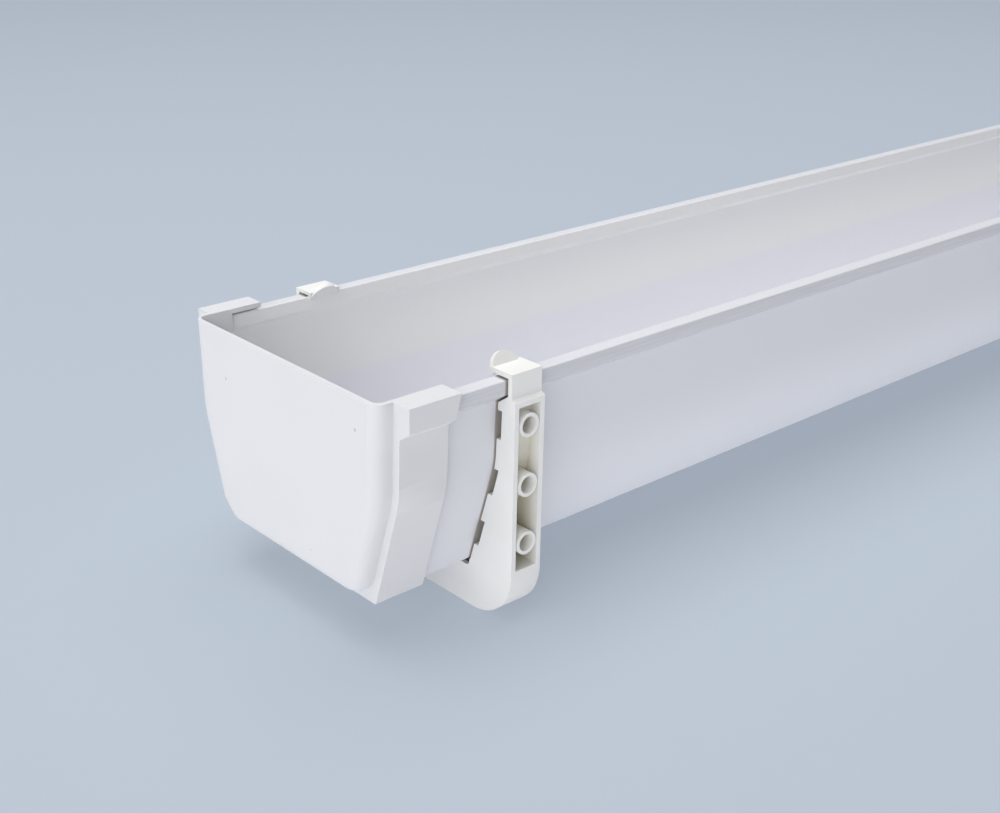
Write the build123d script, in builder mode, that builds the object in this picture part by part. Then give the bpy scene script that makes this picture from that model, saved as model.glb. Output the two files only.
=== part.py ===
from build123d import *
import os

# Gutter section: a length of white plastic box gutter, with a stop end pushed over its left
# end and a support bracket that carries it on the eaves board.
# X runs along the gutter from the stop end to the cut end, Y points away from the eaves
# board towards the front, and Z points up. Millimetres.
# The origin is under the middle of the whole object, on the level that the bracket stands on.

# Driving sizes of the gutter channel
channel_length = 2000.0
channel_depth = 93.0
body_width = 144.0
channel_wall = 2.3
bend_height = 52.0
bend_inset = 1.4
bottom_inset = 17.2
bend_round = 48.0
foot_round = 1.5
front_chamfer_run = 9.2
front_chamfer_height = 8.0
front_drop = 1.1

# Driving sizes of the two lips
lip_face = 6.6
lip_slope = 3.7
back_lip_reach = 5.2
front_lip_reach = 4.0
lip_wall = 1.5
lip_round = 0.8

# Clearances
fit_gap = 0.3
lip_gap = 1.0
eaves_play = 0.6

# Driving sizes of the stop end
cap_wall = 2.3
liner_wall = 1.3
liner_length = 11.4
skirt_length = 25.5
plate_length = 27.0
plate_end_slant = 3.2
panel_stand = 8.8
panel_round = 6.0
panel_front_round = 8.4
panel_corner_round = 11.5
pocket_round = 3.7

# Driving sizes of the support bracket
bracket_distance = 54.3
bracket_width = 17.1
bracket_wall = 2.4
clip_wall = 2.3
clip_overhang = 2.7
leg_stand = 2.2
arm_depth = 23.3
ledge_height = 85.2
ledge_slope = 1.3
eaves_foot_round = 25.0
front_foot_round = 16.0
front_leg_foot = 9.0
pocket_floor_height = 3.9
boss_diameter = 11.0
bore_diameter = 8.0
boss_pitch = 28.0
boss_middle_height = 44.3
seat_height = 13.3
seat_depth = 2.6
seat_drop = 0.8
relief_length = 9.0
relief_depth = 3.5
relief_round = 2.2
rib_pitch = 26.0
rib_count = 3
back_tab_height = 7.2
back_tab_round = 7.35
back_tab_nib = 1.1
front_tab_height = 5.0
front_tab_round = 8.7
front_tab_nib = 1.5
tab_lean = 27.0

# How far above the channel the outlines are drawn before they are cut level
spare_height = 10.0

# Outlines across the gutter, drawn from the middle of the trough's underside
half_body = body_width / 2
half_bend = half_body - bend_inset
half_bottom = half_body - bottom_inset
wall_run_per_height = (bottom_inset - bend_inset) / bend_height
chamfer_top = half_bottom + wall_run_per_height * front_chamfer_height
back_lip_under = channel_depth - lip_face
front_lip_top = channel_depth - front_drop
front_lip_under = front_lip_top - lip_face

wall_run_above_bend = bend_inset / (channel_depth - bend_height)
raised_top = channel_depth + spare_height
half_raised = half_body + wall_run_above_bend * (raised_top - channel_depth)

with BuildSketch() as body_outline:
    with BuildLine():
        Polyline(
            (-half_raised, raised_top),
            (-half_bend, bend_height),
            (-half_bottom, 0),
            (chamfer_top - front_chamfer_run, 0),
            (chamfer_top, front_chamfer_height),
            (half_bend, bend_height),
            (half_raised, raised_top),
            close=True,
        )
    make_face()
    bend_corners = body_outline.vertices().filter_by(lambda corner: corner.Y == bend_height)
    fillet(bend_corners, radius=bend_round)

with BuildSketch() as back_lip:
    with BuildLine():
        Polyline(
            (-half_body + channel_wall, channel_depth),
            (-half_body - back_lip_reach, channel_depth),
            (-half_body - back_lip_reach, back_lip_under),
            (-half_body, back_lip_under - lip_slope),
            (-half_body + channel_wall, back_lip_under - lip_slope),
            close=True,
        )
    make_face()


def band(low, high, left=-body_width, right=body_width):
    """A plain rectangle between two heights and two distances from the middle."""
    with BuildSketch() as result:
        with Locations(((left + right) / 2, (low + high) / 2)):
            Rectangle(right - left, high - low)
    return result


def grown(outline, amount, top=channel_depth):
    """An outline moved outwards, or inwards if the amount is negative, and cut off level at the top."""
    with BuildSketch() as result:
        add(outline.sketch)
        offset(amount=amount, kind=Kind.INTERSECTION, mode=Mode.REPLACE)
        add(band(-body_width, top).sketch, mode=Mode.INTERSECT)
    return result


with BuildSketch() as front_lip:
    with BuildLine():
        Polyline(
            (half_body, front_lip_top),
            (half_body - channel_wall - front_lip_reach, front_lip_top),
            (half_body - channel_wall - front_lip_reach, front_lip_under),
            (half_body - channel_wall, front_lip_under - lip_slope),
            (half_body, front_lip_under - lip_slope),
            close=True,
        )
    make_face()
    add(grown(body_outline, 0.0).sketch, mode=Mode.INTERSECT)

# The channel's own section: three walls of one thickness and two hollow lips
with BuildSketch() as channel_section:
    add(grown(body_outline, 0.0).sketch)
    add(grown(body_outline, -channel_wall).sketch, mode=Mode.SUBTRACT)
    add(band(front_lip_top, channel_depth, 0, body_width).sketch, mode=Mode.SUBTRACT)
    add(back_lip.sketch)
    add(front_lip.sketch)
    # Rounded lip edges and feet
    corners = channel_section.vertices()
    fillet(corners.filter_by(lambda corner: corner.Y > front_lip_under - lip_round), radius=lip_round)
    corners = channel_section.vertices()
    foot_top = front_chamfer_height + channel_wall
    fillet(corners.filter_by(lambda corner: corner.Y < foot_top), radius=foot_round)
    add(grown(back_lip, -lip_wall).sketch, mode=Mode.SUBTRACT)
    add(grown(front_lip, -lip_wall).sketch, mode=Mode.SUBTRACT)

# Outlines of the stop end, all taken from the channel
plate_under = channel_depth + fit_gap
cap_top = plate_under + cap_wall
liner_inset = channel_wall + fit_gap + liner_wall
panel_inset = liner_inset - cap_wall
front_lip_edge = half_body - channel_wall - front_lip_reach
tongue_edge = front_lip_edge - fit_gap - liner_wall
skirt_inside = grown(body_outline, fit_gap, plate_under)
trough_outline = grown(body_outline, -liner_inset, cap_top)
band_outline = grown(back_lip, lip_gap + cap_wall, cap_top)
band_under = channel_depth - lip_face - lip_gap

with BuildSketch() as flange_outline:
    add(grown(body_outline, fit_gap + cap_wall, cap_top).sketch)
    fillet(flange_outline.vertices().group_by(Axis.Y)[0], radius=foot_round)


def clear_of_tongue(inset, corner_round):
    """The channel's outline moved inwards, more so at the front lip, its eaves-side foot rounded."""
    with BuildSketch() as result:
        add(grown(body_outline, -inset, cap_top).sketch)
        with Locations((-front_lip_reach, 0)):
            add(grown(body_outline, -inset, cap_top).sketch, mode=Mode.INTERSECT)
        foot = result.vertices().group_by(Axis.Y)[0].sort_by(Axis.X)[0]
        fillet(foot, radius=corner_round)
    return result


panel_outline = clear_of_tongue(panel_inset, panel_corner_round)
pocket_outline = clear_of_tongue(liner_inset, panel_corner_round - cap_wall)

with BuildSketch() as tongue_outline:
    add(grown(front_lip, fit_gap + liner_wall).sketch)
    add(band(front_lip_top, cap_top, tongue_edge, half_body).sketch)
    add(trough_outline.sketch, mode=Mode.INTERSECT)

with BuildSketch() as channel_slot:
    add(skirt_inside.sketch)
    add(grown(body_outline, -channel_wall - fit_gap, cap_top).sketch, mode=Mode.SUBTRACT)
    add(grown(front_lip, fit_gap).sketch)
    add(band(front_lip_top, plate_under, front_lip_edge - fit_gap, half_body).sketch)
    add(grown(back_lip, lip_gap, plate_under).sketch)

# Places along X
overall_length = panel_stand + cap_wall + fit_gap + channel_length
panel_x = -overall_length / 2
flange_x = panel_x + panel_stand
channel_x = flange_x + cap_wall + fit_gap
bracket_x = flange_x + bracket_distance
bracket_middle_x = bracket_x + bracket_width / 2

# The trough's middle lies where the whole object's middle falls at Y = 0
front_reach = flange_outline.sketch.bounding_box().max.X
clip_reach = half_body + back_lip_reach + lip_gap + clip_wall
eaves_reach = clip_reach + leg_stand
middle_y = (eaves_reach - front_reach) / 2
channel_z = arm_depth


def section_plane(x):
    """The plane across the gutter at x, its own zero at the middle of the trough's underside."""
    return Plane(origin=(x, middle_y, channel_z), x_dir=(0, 1, 0), z_dir=(1, 0, 0))


# Gutter channel
with BuildPart() as gutter_channel:
    with BuildSketch(section_plane(channel_x)):
        add(channel_section.sketch)
    extrude(amount=channel_length)

gutter_channel.part.label = "gutter_channel"


# Stop end
eaves_rim_count = 5


def rim_edges(block):
    """The edges round a block's end towards -X, without the top one, from the eaves side on."""
    end_face = block.faces().sort_by(Axis.X)[0]
    return end_face.edges().sort_by(Axis.Z)[:-1].sort_by(Axis.Y)


with BuildPart() as trough_core:
    # The open inside: a pocket with rounded edges behind the panel, then the full width of the trough
    with BuildSketch(section_plane(panel_x + cap_wall)):
        add(pocket_outline.sketch)
    extrude(amount=panel_stand)
    fillet(rim_edges(trough_core), radius=pocket_round)
    with BuildSketch(section_plane(flange_x + cap_wall)):
        add(trough_outline.sketch)
    extrude(amount=plate_length)

with BuildPart() as stop_end:
    # The end panel stands forward of the flange, its edges rounded, and more so at the front side
    with BuildSketch(section_plane(panel_x)):
        add(panel_outline.sketch)
    extrude(amount=panel_stand)
    fillet(rim_edges(stop_end)[eaves_rim_count:], radius=panel_front_round)
    fillet(rim_edges(stop_end)[:eaves_rim_count], radius=panel_round)
    # The skirt goes round the outside of the channel and its back lip
    with BuildSketch(section_plane(flange_x)):
        add(flange_outline.sketch)
        add(band_outline.sketch)
    extrude(amount=skirt_length)
    # The top plates and the band over the back lip reach a little further
    with BuildSketch(section_plane(flange_x)):
        add(flange_outline.sketch)
        add(band_outline.sketch)
        add(band(-body_width, band_under).sketch, mode=Mode.SUBTRACT)
    extrude(amount=plate_length)
    # The inside is hollow, with a tongue of the liner round the front lip
    add(trough_core.part, mode=Mode.SUBTRACT)
    with BuildSketch(section_plane(flange_x)):
        add(tongue_outline.sketch)
    extrude(amount=plate_length)
    # The slot takes the channel's end, and the liner stops short of the skirt's end
    with BuildSketch(section_plane(flange_x + cap_wall)):
        add(channel_slot.sketch)
    extrude(amount=plate_length, mode=Mode.SUBTRACT)
    with BuildSketch(section_plane(flange_x + liner_length)):
        add(skirt_inside.sketch)
    extrude(amount=plate_length, mode=Mode.SUBTRACT)
    # The band's end slants back towards its underside
    with BuildSketch(Plane.XZ.offset(half_body - middle_y)):
        with BuildLine():
            Polyline(
                (flange_x + plate_length, channel_z + cap_top),
                (flange_x + plate_length, channel_z + band_under - lip_slope - cap_wall),
                (flange_x + plate_length - plate_end_slant, channel_z + band_under - cap_wall),
                close=True,
            )
        make_face()
    extrude(amount=half_body, mode=Mode.SUBTRACT)

stop_end.part.label = "stop_end"


# Outlines of the support bracket, fitted round the channel
clip_under = channel_depth + lip_gap
clip_top = clip_under + clip_wall
front_clip_under = front_lip_top + fit_gap
front_clip_top = front_clip_under + clip_wall
front_clip_reach = half_body + fit_gap + clip_wall
pocket_top = ledge_height - ledge_slope - bracket_wall
back_tab_edge = half_body - channel_wall - clip_overhang
front_tab_edge = front_lip_edge - clip_overhang
boss_heights = [boss_middle_height + step * boss_pitch for step in (-1, 0, 1)]

with BuildSketch() as bracket_outline:
    with BuildLine():
        Polyline(
            (-eaves_reach, ledge_height - ledge_slope),
            (-eaves_reach, -arm_depth),
            (half_bottom + front_leg_foot, -arm_depth),
            (front_clip_reach, bend_height),
            (front_clip_reach, front_clip_top),
            (0, front_clip_top),
            (0, clip_top),
            (-clip_reach, clip_top),
            (-clip_reach, ledge_height),
            close=True,
        )
    make_face()
    foot_corners = bracket_outline.vertices().group_by(Axis.Y)[0].sort_by(Axis.X)
    fillet(foot_corners[0], radius=eaves_foot_round)
    foot_corners = bracket_outline.vertices().group_by(Axis.Y)[0].sort_by(Axis.X)
    fillet(foot_corners[-1], radius=front_foot_round)

with BuildSketch() as eaves_room:
    # The play that the channel has towards the eaves board
    add(grown(body_outline, eaves_play).sketch)
    add(band(-fit_gap, channel_depth, -body_width, 0).sketch, mode=Mode.INTERSECT)

with BuildSketch() as bracket_side:
    add(bracket_outline.sketch)
    # The cradle, and the room round the two lips under the clips
    add(grown(body_outline, fit_gap).sketch, mode=Mode.SUBTRACT)
    add(eaves_room.sketch, mode=Mode.SUBTRACT)
    add(grown(back_lip, lip_gap, clip_under).sketch, mode=Mode.SUBTRACT)
    add(band(front_lip_under, front_clip_under, 0, half_body + fit_gap).sketch, mode=Mode.SUBTRACT)
    add(band(bend_height, clip_top, -back_tab_edge, front_tab_edge).sketch, mode=Mode.SUBTRACT)
    with Locations((relief_length / 2 - half_bottom, -fit_gap)):
        RectangleRounded(relief_length, 2 * relief_depth, relief_round, mode=Mode.SUBTRACT)

with BuildSketch() as screw_seats:
    # Flat-bottomed seats that let the screw heads lie behind the channel
    for height in boss_heights:
        seat_middle = height - seat_drop
        add(band(seat_middle - seat_height / 2, seat_middle + seat_height / 2, -eaves_reach, 0).sketch)
    add(grown(body_outline, eaves_play + seat_depth).sketch, mode=Mode.INTERSECT)

with BuildSketch() as pocket_side:
    add(band(pocket_floor_height, pocket_top, -eaves_reach, 0).sketch)
    add(grown(body_outline, eaves_play + seat_depth + bracket_wall).sketch, mode=Mode.SUBTRACT)

with BuildSketch() as arm_space:
    # The room inside the arm and the front leg, open towards the channel
    add(bracket_outline.sketch)
    offset(amount=-bracket_wall, kind=Kind.INTERSECTION, mode=Mode.REPLACE)
    add(band(pocket_floor_height - bracket_wall, clip_top, -body_width, 0).sketch, mode=Mode.SUBTRACT)
    add(band(bend_height, clip_top, 0, body_width).sketch, mode=Mode.SUBTRACT)
    with GridLocations(rib_pitch, 0, rib_count, 1):
        Rectangle(bracket_wall, 2 * arm_depth, mode=Mode.SUBTRACT)


# The upright plane of the eaves board, looking away from it, its zero level with the trough's underside
eaves_plane = Plane(
    origin=(bracket_middle_x, middle_y - eaves_reach, channel_z), x_dir=(-1, 0, 0), z_dir=(0, 1, 0)
)


def tab_plane(side, edge, height):
    """The leaning plane of a thumb tab: side is -1 at the back lip and 1 at the front lip."""
    lean = Vector(0, -side, 0).rotate(Axis.X, side * (tab_lean - 90))
    return Plane(
        origin=(bracket_middle_x, middle_y + side * edge, channel_z + height),
        x_dir=(-side, 0, 0),
        z_dir=Vector(-side, 0, 0).cross(lean),
    )


with BuildPart() as pocket_space:
    # The recess in the bracket's back, less the boss tubes that stand in it
    with BuildSketch(section_plane(bracket_x + bracket_wall)):
        add(pocket_side.sketch)
    extrude(amount=bracket_width - 2 * bracket_wall)
    with BuildSketch(eaves_plane):
        with Locations([(0, height) for height in boss_heights]):
            Circle(boss_diameter / 2)
    extrude(amount=eaves_reach, mode=Mode.SUBTRACT)

with BuildPart() as support_bracket:
    with BuildSketch(section_plane(bracket_x)):
        add(bracket_side.sketch)
        add(screw_seats.sketch, mode=Mode.SUBTRACT)
    extrude(amount=bracket_width)
    add(pocket_space.part, mode=Mode.SUBTRACT)
    with BuildSketch(section_plane(bracket_x + bracket_wall)):
        add(arm_space.sketch)
    extrude(amount=bracket_width - 2 * bracket_wall, mode=Mode.SUBTRACT)
    # Screw bores along the bosses
    with BuildSketch(eaves_plane):
        with Locations([(0, height) for height in boss_heights]):
            Circle(bore_diameter / 2)
    extrude(amount=eaves_reach, mode=Mode.SUBTRACT)
    # A thumb tab on each clip's inner edge, with a nib below that hooks behind the lip
    back_tab = (-1, back_tab_edge, clip_under, back_tab_height, back_tab_round, back_tab_nib)
    front_tab = (1, front_tab_edge, front_clip_under, front_tab_height, front_tab_round, front_tab_nib)
    for side, edge, foot, height, radius, nib in (back_tab, front_tab):
        shift = side * max(bracket_width / 2 - radius, 0)
        with BuildSketch(tab_plane(side, edge, foot)):
            with Locations((shift, height - radius)):
                Circle(radius)
            with Locations((shift, -nib - radius)):
                Rectangle(2 * radius, 2 * radius, mode=Mode.SUBTRACT)
        extrude(amount=clip_wall)

support_bracket.part.label = "support_bracket"


os.makedirs("parts", exist_ok=True)
for piece in (gutter_channel, stop_end, support_bracket):
    export_step(piece.part, f"parts/{piece.part.label}.step")
    size = piece.part.bounding_box().size
    print(f"{piece.part.label}: {size.X:.1f} x {size.Y:.1f} x {size.Z:.1f} mm")
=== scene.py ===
# %% [markdown]
# # A gutter section and its three plastics
#
# The object is a length of white box gutter. A stop end closes its left end, and a support
# bracket carries it on the eaves board and clips over both of its lips.
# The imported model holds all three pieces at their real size. This script keeps them where they
# are, softens their edges, gives each its own plastic, and sets up floor, light and camera.

import math

import bpy
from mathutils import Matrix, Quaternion, Vector


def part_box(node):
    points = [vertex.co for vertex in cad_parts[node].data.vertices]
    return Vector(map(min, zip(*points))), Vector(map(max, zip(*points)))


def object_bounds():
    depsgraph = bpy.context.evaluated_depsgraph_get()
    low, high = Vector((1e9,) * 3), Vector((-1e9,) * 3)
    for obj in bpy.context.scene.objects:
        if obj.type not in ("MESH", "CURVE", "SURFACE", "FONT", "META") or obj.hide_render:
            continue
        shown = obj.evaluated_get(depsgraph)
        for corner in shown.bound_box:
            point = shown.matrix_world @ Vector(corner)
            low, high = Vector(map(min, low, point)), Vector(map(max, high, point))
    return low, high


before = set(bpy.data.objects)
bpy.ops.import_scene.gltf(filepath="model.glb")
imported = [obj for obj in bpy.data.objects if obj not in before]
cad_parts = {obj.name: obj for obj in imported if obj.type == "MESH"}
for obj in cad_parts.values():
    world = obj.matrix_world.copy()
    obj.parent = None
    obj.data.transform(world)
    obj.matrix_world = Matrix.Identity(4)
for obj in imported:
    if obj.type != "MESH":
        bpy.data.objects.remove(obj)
cad_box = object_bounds()
mm = 0.001
print("pieces:", sorted(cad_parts))
print("size in mm:", [round(side / mm, 1) for side in cad_box[1] - cad_box[0]])

# %% [markdown]
# ## Places on the object
#
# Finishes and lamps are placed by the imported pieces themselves, so the box of each is measured
# once. The channel's box gives its cut end, the stop end's the middle of the trough, and the
# bracket's the stretch of wall that it holds.

# %% Measure the pieces
channel_low, channel_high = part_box("gutter_channel")
cap_low, cap_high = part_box("stop_end")
bracket_low, bracket_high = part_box("support_bracket")
print("channel length in mm:", round((channel_high.x - channel_low.x) / mm, 1))
print("channel underside in mm:", round(channel_low.z / mm, 1))

# %% [markdown]
# ## Camera
#
# The photograph looks down the gutter from beyond its stop end. The lens and the three angles
# were worked out from the long parallel edges of the gutter and the upright edges of its end.
# The camera is aimed with one rotation that looks along a direction, and a small roll is added
# about the line of sight.

# %% Set the camera
camera_place = Vector((-1.32624, -0.48935, 0.34363))
camera_heading = math.radians(42.41)
camera_drop = math.radians(22.90)
camera_roll = math.radians(1.10)
camera_lens_mm = 52.96
film_width_mm = 36.0

line_of_sight = Vector((
    math.sin(camera_heading) * math.cos(camera_drop),
    math.cos(camera_heading) * math.cos(camera_drop),
    -math.sin(camera_drop),
))
camera_data = bpy.data.cameras.new("photo_camera")
camera_data.lens = camera_lens_mm
camera_data.sensor_width = film_width_mm
camera_data.clip_end = 100.0
camera = bpy.data.objects.new("photo_camera", camera_data)
camera.location = camera_place
camera.rotation_mode = "QUATERNION"
camera.rotation_quaternion = (
    line_of_sight.to_track_quat("-Z", "Y") @ Quaternion((0, 0, 1), camera_roll)
)
bpy.context.scene.collection.objects.link(camera)
bpy.context.scene.camera = camera
bpy.context.scene.view_settings.view_transform = "Standard"
print("camera distance to the stop end in m:", round((camera_place - cap_high).length, 3))

# %% [markdown]
# ## Writing shader maths as arithmetic
#
# A plastic's finish is a small formula: some noise, stretched, scaled and added up. Wiring that
# by hand hides the formula. So a reading wraps one output socket and overloads the operators:
# each of them adds a Math node and gives back a new reading. Every other node comes from one
# method that sets a node's options first and its sockets after.

# %% A reading of a socket
class Reading:
    """One output socket of a finish, used in arithmetic like a number."""

    def __init__(self, finish, socket):
        self.finish = finish
        self.socket = socket

    def math(self, operation, *others, first=None):
        """One Math node on this reading and the others, or on a first number and this reading."""
        terms = [self, *others] if first is None else [first, self]
        names = ("Value", "Value_001", "Value_002")
        return self.finish.node(
            "ShaderNodeMath", {"operation": operation}, dict(zip(names, terms))
        )

    def __add__(self, other):
        return self.math("ADD", other)

    __radd__ = __add__

    def __sub__(self, other):
        return self.math("SUBTRACT", other)

    def __rsub__(self, other):
        return self.math("SUBTRACT", first=other)

    def __mul__(self, other):
        return self.math("MULTIPLY", other)

    __rmul__ = __mul__

    def __truediv__(self, other):
        return self.math("DIVIDE", other)

    def __pow__(self, other):
        return self.math("POWER", other)

    def between(self, low, high):
        """0 below low, 1 above high and a smooth step between them."""
        return self.finish.node(
            "ShaderNodeMapRange",
            {"interpolation_type": "SMOOTHSTEP"},
            {"Value": self, "From Min": low, "From Max": high},
        )


# %% A finish: the nodes of one material, or of the world
class Finish:
    """A node tree that is built from readings and ends in one output."""

    def __init__(self, owner):
        owner.use_nodes = True
        self.owner = owner
        self.tree = owner.node_tree
        self.tree.nodes.clear()

    def node(self, kind, settings=None, sockets=None, output=0):
        """A node of that type: its settings, then the values or links of its sockets."""
        made = self.tree.nodes.new(kind)
        for setting, value in (settings or {}).items():
            setattr(made, setting, value)
        for name, value in (sockets or {}).items():
            socket = next(s for s in made.inputs if name in (s.identifier, s.name))
            if isinstance(value, Reading):
                self.tree.links.new(value.socket, socket)
            else:
                socket.default_value = value
        return Reading(self, made.outputs[output]) if made.outputs else made

    def place(self):
        """Where a point of the surface lies on the object, in metres."""
        return self.node("ShaderNodeTexCoord", output="Object")

    def along(self, axis):
        """How far a point lies along X, Y or Z, in metres."""
        return self.node("ShaderNodeSeparateXYZ", sockets={"Vector": self.place()}, output=axis)

    def direction(self):
        """Which way the surface looks, as a vector of length 1."""
        return self.node("ShaderNodeTexCoord", output="Normal")

    def vector(self, operation, first, second, output="Vector"):
        """One Vector Math node on two vectors."""
        return self.node(
            "ShaderNodeVectorMath",
            {"operation": operation},
            {"Vector": first, "Vector_001": second},
            output,
        )

    def noise(self, scale, detail=2.0, roughness=0.5, stretch=(1, 1, 1), offset=(0, 0, 0)):
        """Soft noise around 0.5, with scale in features to the metre along each axis."""
        spot = self.node(
            "ShaderNodeMapping",
            sockets={"Vector": self.place(), "Scale": stretch, "Location": offset},
        )
        sockets = {"Vector": spot, "Scale": scale, "Detail": detail, "Roughness": roughness}
        return self.node("ShaderNodeTexNoise", sockets=sockets)

    def blend(self, share, colour_from, colour_to):
        """A mix of two colours by a reading between 0 and 1."""
        return self.node(
            "ShaderNodeMix",
            {"data_type": "RGBA"},
            {"Factor_Float": share, "A_Color": colour_from, "B_Color": colour_to},
            output=2,
        )

    def relief(self, height, depth, **under):
        """A normal bent by a height from 0 to 1 over a depth in metres, on top of another one."""
        sockets = {"Strength": 1.0, "Distance": depth, "Height": height, **under}
        return self.node("ShaderNodeBump", sockets=sockets)

    def plastic(self, **sockets):
        """Ends the finish in one plastic shader."""
        names = {name.replace("_", " "): value for name, value in sockets.items()}
        shader = self.node("ShaderNodeBsdfPrincipled", sockets=names)
        self.node("ShaderNodeOutputMaterial", sockets={"Surface": shader})
        print(self.owner.name, "has", len(self.tree.nodes), "nodes")
        return self.owner

    def shown(self):
        """1 where the camera, a reflection or a clear thing looks, 0 for scattered light."""
        rays = ("Is Camera Ray", "Is Glossy Ray", "Is Transmission Ray")
        camera_ray, glossy_ray, clear_ray = (
            self.node("ShaderNodeLightPath", output=ray) for ray in rays
        )
        return camera_ray + glossy_ray + clear_ray


# %% [markdown]
# ## Where a point of the channel lies
#
# The channel isn't the same tone all over. Its lips are greyer, with streaks along them, and the
# grey is partly painted shade, most on their upright faces. A painted shade darkens the outer
# walls towards the top and on the stretch from the stop end up to the bracket, the trough's lower
# part is a cooler white, and a painted shade darkens the narrow gap round the bracket's cradle.
# These lamps alone don't give that shade, so it is laid into the colour, and the channel keeps it
# under any other light. Each place is a mask between 0 and 1, worked out from the point's own
# place and from the way that its surface looks. An inner face is told from an outer one by that:
# it looks at the trough's core, a line along the gutter.

# %% Masks for the channel
extruded = Finish(bpy.data.materials.new("extruded_white"))
core_level = 80 * mm
trough_core = (0.0, (cap_low.y + cap_high.y) / 2, core_level)
bend_level = 75.4 * mm
lip_level = 108 * mm
plain_on_top = 0.65
top_painted_shade_from = bend_level - 50 * mm
top_painted_shade_full = bend_level + 9 * mm

cross_place = extruded.vector("MULTIPLY", extruded.place(), (0, 1, 1))
to_core = extruded.vector("SUBTRACT", trough_core, cross_place)
faces_core = extruded.vector("DOT_PRODUCT", to_core, extruded.direction(), output="Value")
inner = faces_core.between(-1 * mm, 1 * mm)
height = extruded.along("Z")
looks_up = extruded.node(
    "ShaderNodeSeparateXYZ", sockets={"Vector": extruded.direction()}, output="Z"
)
# the lips' outer faces, weaker on their tops; this places their streaks, painted shade and
# rougher finish
lips = (
    (1 - inner)
    * height.between(lip_level - 0.5 * mm, lip_level + 0.5 * mm)
    * (1 - plain_on_top * looks_up.between(0.2, 0.7))
)
# painted shade: the outer walls grow darker towards the top
top_painted_shade = height.between(top_painted_shade_from, top_painted_shade_full)
lower_trough = inner * (1 - height.between(bend_level - 8 * mm, bend_level - 2 * mm))
sawn = extruded.along("X").between(channel_high.x - 0.5 * mm, channel_high.x - 0.1 * mm)

bracket_middle_x = (bracket_low.x + bracket_high.x) / 2
bracket_half = (bracket_high.x - bracket_low.x) / 2
gap_shade_from = bracket_half + 0.3 * mm
gap_shade_gone = bracket_half + 1.3 * mm
stop_end_shade_share = 0.6
from_bracket = (extruded.along("X") - bracket_middle_x).math("ABSOLUTE")
# painted shade: the narrow gap round the bracket's cradle is darker
cradle_gap_shade = (1 - inner) * (1 - from_bracket.between(gap_shade_from, gap_shade_gone))
# painted shade: the wall is darker from the stop end up to the bracket
stop_end_painted_shade = stop_end_shade_share * (1 - extruded.along("X").between(bracket_low.x, bracket_high.x))
print("the bracket holds", round(2 * bracket_half / mm, 1), "mm of the wall")

# %% [markdown]
# ## The channel's relief
#
# The channel is pushed through a steel die, so the marks of making run along its length: faint
# lines, streaks on the lips, a slow wave in the wall, and bands that differ a little in gloss.
# The same noise, stretched far along X, gives all four. The photograph shows the streaks on the
# lips, and the rest is what extruded plastic has. The cut end lies outside the photograph, and
# its saw marks, which run across, are a guess. The wall's bend is a short arc in the solid, and
# the photograph's shading spreads further from it than such an arc gives. A bump makes that
# wider shading: a broad shallow hollow outside, and the same swelling inside, each with its foot
# where the wall is flat. It was set by brightness, and no real hollow was measured.

# %% Extruded relief
bend_reach = 33 * mm
bend_core = 4.5 * mm
bend_depth = 1.9 * mm
wave_depth = 0.4 * mm
line_depth = 0.02 * mm

die_lines = extruded.noise(700, detail=3.0, stretch=(0.004, 1, 1))
wall_wave = extruded.noise(30, detail=1.0, stretch=(0.15, 1, 1), offset=(3, 0, 0))
saw_marks = extruded.noise(900, detail=2.0, stretch=(0, 0.15, 1))
lip_streaks = extruded.noise(
    1400, detail=4.0, roughness=0.6, stretch=(0.02, 1, 1), offset=(0, 5, 0)
)

from_bend = ((height - bend_level) ** 2 + bend_core ** 2) ** 0.5
spread = ((bend_reach - from_bend).math("MAXIMUM", 0.0) / bend_reach) ** 2
extruded_sag = extruded.relief(spread * (2 * inner - 1), bend_depth)
extruded_body = extruded.relief(wall_wave, wave_depth, Normal=extruded_sag)
extruded_lines = 0.75 * die_lines + 0.25 * saw_marks * sawn + 0.8 * lip_streaks * lips
extruded_skin = extruded.relief(extruded_lines, line_depth, Normal=extruded_body)
print("the bend's shading reaches", round(bend_reach / mm), "mm up and down the wall")

# %% [markdown]
# ## The channel's colour
#
# A cool white with hardly any cloudiness, laid in steps: the plain wall first, then the painted
# shade of its top and of the stretch by the stop end, the inner faces, the cooler lower trough,
# the grey streaks and painted shade of the lips, the painted shade of the gap and the saw cut.
# Each step mixes one more colour over the last by its mask.

# %% Extruded white
cool_white = (0.84, 0.85, 0.89, 1)
cool_white_shade = (0.825, 0.835, 0.875, 1)
# painted shade on the top of the outer walls
top_painted_shade_white = (0.695, 0.70, 0.735, 1)
# painted shade on the stretch by the stop end
stop_end_shade_white = (0.68, 0.685, 0.71, 1)
inner_white = (0.88, 0.88, 0.88, 1)
trough_white = (0.85, 0.855, 0.905, 1)
# grey of the lips' streaks and of their painted shade
streak_and_shade_grey = (0.58, 0.585, 0.62, 1)
# painted shade in the gap round the cradle
gap_painted_shade = (0.36, 0.33, 0.30, 1)
saw_cut_white = (0.84, 0.84, 0.84, 1)
upvc_ior = 1.53

gloss_bands = extruded.noise(160, detail=2.0, stretch=(0.01, 1, 1), offset=(0, 2, 0))
cloud = extruded.noise(9, detail=3.0)
streaks = extruded.noise(420, detail=3.0, stretch=(0.006, 1, 1), offset=(0, 7, 0))
shade = 0.5 * cloud.between(0.35, 0.65) + 0.5 * streaks.between(0.35, 0.65)
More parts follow.
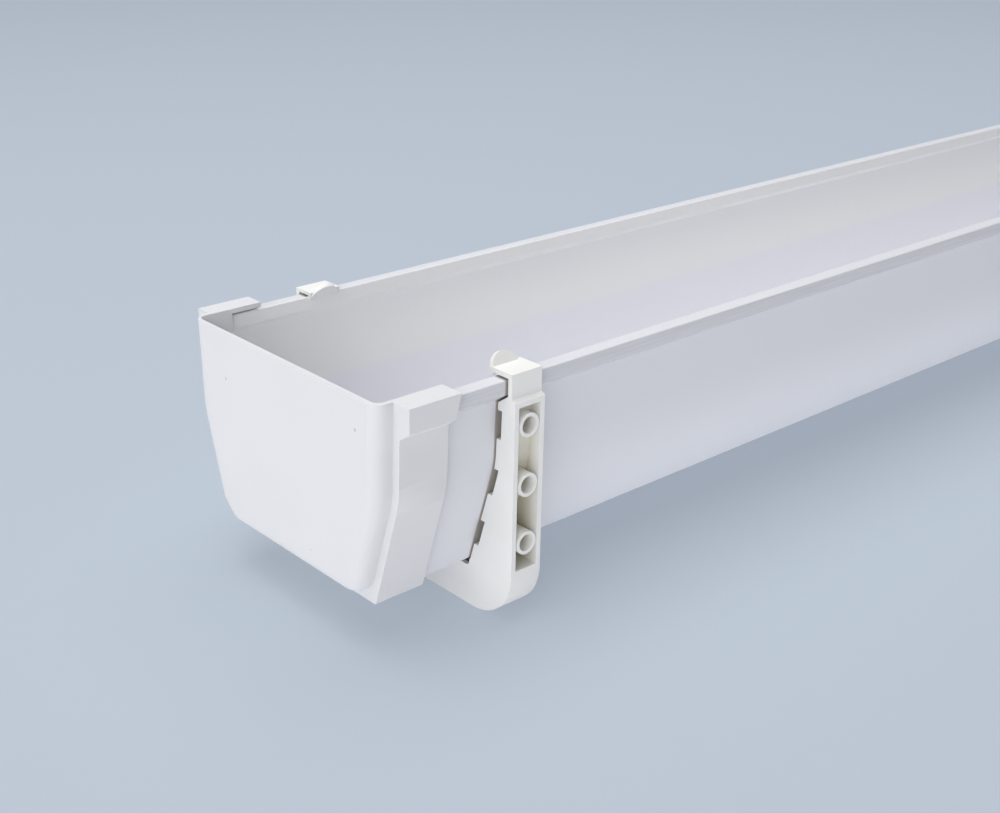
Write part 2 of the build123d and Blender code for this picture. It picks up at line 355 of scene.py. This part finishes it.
# streaks of the lips, and painted shade on their upright faces
streak_and_shade_share = lips * (0.45 + 0.55 * lip_streaks.between(0.3, 0.7))
white_of_channel = extruded.blend(shade, cool_white, cool_white_shade)
white_of_channel = extruded.blend(top_painted_shade, white_of_channel, top_painted_shade_white)
white_of_channel = extruded.blend(stop_end_painted_shade, white_of_channel, stop_end_shade_white)
white_of_channel = extruded.blend(inner, white_of_channel, inner_white)
white_of_channel = extruded.blend(lower_trough, white_of_channel, trough_white)
white_of_channel = extruded.blend(streak_and_shade_share, white_of_channel, streak_and_shade_grey)
white_of_channel = extruded.blend(cradle_gap_shade, white_of_channel, gap_painted_shade)
extruded_white = extruded.plastic(
    Base_Color=extruded.blend(sawn, white_of_channel, saw_cut_white),
    Roughness=0.26 + 0.14 * gloss_bands + 0.12 * lips + 0.45 * sawn,
    Normal=extruded_skin,
    IOR=upvc_ior,
)

# %% [markdown]
# ## The stop end's plastic
#
# The stop end is injection moulded, so its finish has no direction: a satin skin and a very
# slight sink in its broad faces. The photograph shows one or two tiny marks on the end panel.
# Here the highest peaks of a fine noise give a few such specks, and not in the same places.

# %% Moulded satin white
satin_white = (0.745, 0.747, 0.76, 1)
satin_white_shade = (0.73, 0.733, 0.748, 1)
speck_grey = (0.50, 0.49, 0.48, 1)

moulded = Finish(bpy.data.materials.new("moulded_satin_white"))
mould_skin = moulded.noise(2200, detail=2.0)
mould_sink = moulded.noise(26, detail=1.0)
mould_cloud = moulded.noise(18, detail=3.0, offset=(1, 0, 0))
moulded_body = moulded.relief(mould_sink, 0.4 * mm)
moulded_skin = moulded.relief(mould_skin, 0.012 * mm, Normal=moulded_body)
specks = moulded.noise(260, detail=1.0, offset=(4, 0, 0)).between(0.80, 0.84)
white_of_stop_end = moulded.blend(mould_cloud.between(0.35, 0.65), satin_white, satin_white_shade)
moulded_white = moulded.plastic(
    Base_Color=moulded.blend(specks, white_of_stop_end, speck_grey),
    Roughness=0.36 + 0.1 * mould_cloud,
    Normal=moulded_skin,
    IOR=upvc_ior,
)

# %% [markdown]
# ## The bracket's plastic
#
# The bracket is a warmer and more matt white than the other two pieces. The recess in its eaves
# face looks olive and dark, more so deep inside, and that shade is painted into the colour as a
# light olive tinge that deepens inwards. It fills a box inside the leg's side walls, from the
# recess's floor to its ceiling, and the mask is the product of one step for each side of that
# box.

# %% Moulded matt warm white
warm_white = (0.86, 0.857, 0.84, 1)
warm_white_shade = (0.845, 0.84, 0.82, 1)
# painted shade in the recess, tinged olive
olive_painted_shade = (0.74, 0.71, 0.59, 1)
recess_half = 6.8 * mm
recess_bottom = 14 * mm
recess_top = 105 * mm
recess_mouth = bracket_low.y + 0.5 * mm
recess_back = bracket_low.y + 9 * mm
cradle_side = bracket_low.y + 14 * mm

matt = Finish(bpy.data.materials.new("moulded_matt_warm_white"))
across = (matt.along("X") - bracket_middle_x).math("ABSOLUTE")
depth, level = matt.along("Y"), matt.along("Z")
# where the recess's painted shade lies, deepest inwards
recess = (
    (1 - across.between(recess_half - 0.2 * mm, recess_half))
    * depth.between(recess_mouth, recess_back)
    * (1 - depth.between(cradle_side, cradle_side + 1 * mm))
    * level.between(recess_bottom - 1 * mm, recess_bottom)
    * (1 - level.between(recess_top, recess_top + 1 * mm))
)
matt_grain = matt.noise(1600, detail=2.0)
matt_cloud = matt.noise(60, detail=3.0)
white_of_bracket = matt.blend(matt_cloud.between(0.35, 0.65), warm_white, warm_white_shade)
matt_white = matt.plastic(
    Base_Color=matt.blend(recess, white_of_bracket, olive_painted_shade),
    Roughness=0.46 + 0.12 * matt_cloud,
    Normal=matt.relief(matt_grain, 0.02 * mm),
    IOR=upvc_ior,
)

# %% [markdown]
# ## Slow bends
#
# The channel's bend is an arc with a flat face above and below it, and in the photograph no line
# shows where they meet. The solid's flat faces are shaded flat, which would draw that line, so a
# node group with one Set Shade Smooth node shades them as part of the curve. The shape stays as
# it is. Only the channel gets it: the faces of the two mouldings look flat in the photograph.

# %% Smooth shading as a modifier's node group
smooth_faces = bpy.data.node_groups.new("smooth_faces", "GeometryNodeTree")
smooth_faces.is_modifier = True
for way in ("INPUT", "OUTPUT"):
    smooth_faces.interface.new_socket("Geometry", in_out=way, socket_type="NodeSocketGeometry")
faces_in = smooth_faces.nodes.new("NodeGroupInput")
shade_smooth = smooth_faces.nodes.new("GeometryNodeSetShadeSmooth")
faces_out = smooth_faces.nodes.new("NodeGroupOutput")
smooth_faces.links.new(faces_in.outputs[0], shade_smooth.inputs[0])
smooth_faces.links.new(shade_smooth.outputs[0], faces_out.inputs[0])
print("smooth shading is a group of", len(smooth_faces.nodes), "nodes")

# %% [markdown]
# ## Soft edges
#
# No moulded or extruded edge is perfectly sharp, and the bright line that a rounded edge
# catches is what makes plastic look like plastic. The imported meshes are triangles, so three
# modifiers are stacked on each: Weld joins the triangles' corners, a planar Decimate joins
# flat triangles into whole faces, and Bevel rounds what is still a sharp edge. The channel's
# smooth shading goes in before its Bevel, which then keeps its flat faces flat at their edges.
# An extruded lip is crisper than a moulded rim, so the channel's edges are rounded least.

# %% Dress the three pieces
same_corner = 0.001 * mm
same_plane = math.radians(0.5)
sharp_from = math.radians(28)


def soften(node, width, steps, bends=None):
    """Joins a piece's triangles into faces and rounds its sharp edges."""
    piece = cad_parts[node]
    weld = piece.modifiers.new("join_corners", "WELD")
    weld.merge_threshold = same_corner
    flat = piece.modifiers.new("whole_faces", "DECIMATE")
    flat.decimate_type = "DISSOLVE"
    flat.angle_limit = same_plane
    if bends:
        slow_bends = piece.modifiers.new("slow_bends", "NODES")
        slow_bends.node_group = bends
    edges = piece.modifiers.new("soft_edges", "BEVEL")
    edges.width = width
    edges.segments = steps
    edges.limit_method = "ANGLE"
    edges.angle_limit = sharp_from
    edges.use_clamp_overlap = True
    edges.harden_normals = True
    shaped = piece.evaluated_get(bpy.context.evaluated_depsgraph_get()).data
    print(node, "has", len(shaped.polygons), "faces after rounding")


def dress(node, finish):
    """Gives each material slot of a piece its plastic."""
    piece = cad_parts[node]
    for material_slot in piece.material_slots:
        material_slot.material = finish


dress("gutter_channel", extruded_white)
dress("stop_end", moulded_white)
dress("support_bracket", matt_white)
soften("gutter_channel", 0.15 * mm, 2, bends=smooth_faces)
soften("stop_end", 0.4 * mm, 3)
soften("support_bracket", 0.45 * mm, 3)

# %% [markdown]
# ## Floor
#
# A plain pale floor carries the gutter and keeps its shadow. In the photograph the outer wall is
# brighter at its foot than at its top, which looks like light from below. To scattered light the
# floor is therefore white paper with a weak glow, as on a light table. The camera sees it as a
# pale blue grey, so that the white edges stand out against it, and part of that tone is a glow
# too, which keeps the floor even where the lamps no longer reach. A Light Path node tells the
# rays that show the floor from the rays that only carry light.

# %% Lay the floor
floor_reach = 14.0
white_paper = (0.86, 0.86, 0.87, 1)
pale_floor_colour = (0.22, 0.25, 0.29, 1)
pale_floor_glow = (0.25, 0.28, 0.32, 1)
table_glow = (0.20, 0.215, 0.25, 1)

floor_paint = Finish(bpy.data.materials.new("pale_floor"))
pale_floor = floor_paint.plastic(
    Base_Color=floor_paint.blend(floor_paint.shown(), white_paper, pale_floor_colour),
    Roughness=0.9,
    Emission_Color=floor_paint.blend(floor_paint.shown(), table_glow, pale_floor_glow),
    Emission_Strength=1.0,
)
floor_mesh = bpy.data.meshes.new("floor")
floor_signs = ((-1, -1), (1, -1), (1, 1), (-1, 1))
floor_corners = [(x * floor_reach, y * floor_reach, cad_box[0].z) for x, y in floor_signs]
floor_mesh.from_pydata(floor_corners, [], [(0, 1, 2, 3)])
floor_mesh.materials.append(pale_floor)
floor = bpy.data.objects.new("floor", floor_mesh)
bpy.context.scene.collection.objects.link(floor)
print("floor reaches", floor_reach, "m each way")

# %% [markdown]
# ## Light
#
# Four soft lamps light the gutter, and the world adds a weak even fill. The overhead lamp is the
# main one for the lips and the trough. The upper left one hangs beyond the stop end and lights
# the near stretch of the channel. The other two stand further out to the left: one faces the
# end panel, and one stands on the eaves side, so that it lights the bracket and the eaves wall
# too. Only scattered light meets the world's fill. What the camera sees behind the floor is one
# flat pale blue grey. How the real studio was lit isn't known: each lamp was rendered by itself,
# and the powers are the mix that came nearest to the photograph's brightness at some fifty spots.

# %% Hang the lamps
fill_level = 0.16
fill_colour = (0.97, 0.98, 1.0, 1)
backdrop_colour = (0.56, 0.61, 0.68, 1)

bpy.context.scene.world = bpy.data.worlds.new("studio")
studio = Finish(bpy.context.scene.world)
fill = studio.node(
    "ShaderNodeBackground", sockets={"Color": fill_colour, "Strength": fill_level}
)
backdrop = studio.node("ShaderNodeBackground", sockets={"Color": backdrop_colour})
sky = studio.node(
    "ShaderNodeMixShader", sockets={"Fac": studio.shown(), "Shader": fill, "Shader_001": backdrop}
)
studio.node("ShaderNodeOutputWorld", sockets={"Surface": sky})
print("the studio's world has", len(studio.tree.nodes), "nodes")


def hang_lamp(name, place, aim, width, height, power):
    """A soft rectangular lamp at a place, turned towards a point."""
    data = bpy.data.lights.new(name, "AREA")
    data.shape = "RECTANGLE"
    data.size = width
    data.size_y = height
    data.energy = power
    lamp = bpy.data.objects.new(name, data)
    lamp.location = place
    lamp.rotation_mode = "QUATERNION"
    lamp.rotation_quaternion = (aim - place).to_track_quat("-Z", "Y")
    lamp.visible_camera = False
    bpy.context.scene.collection.objects.link(lamp)
    print(name, "hangs", round((aim - place).length, 2), "m away")


stop_end_middle = (cap_low + cap_high) / 2
near_stretch = Vector((-0.8, 0, 0.1))
shown_stretch = Vector((-0.4, 0, 0.1))
hang_lamp("overhead_lamp", Vector((-0.3, 0.5, 2.6)), shown_stretch, 3.0, 2.0, 41)
hang_lamp("upper_left_lamp", Vector((-1.6, 0, 2.4)), near_stretch, 2.0, 1.6, 26)
hang_lamp("left_lamp", Vector((-3.2, 0.3, 1.2)), stop_end_middle, 1.8, 1.4, 10)
hang_lamp("left_near_lamp", Vector((-3.1, -1.5, 1.0)), stop_end_middle, 1.6, 1.2, 20)
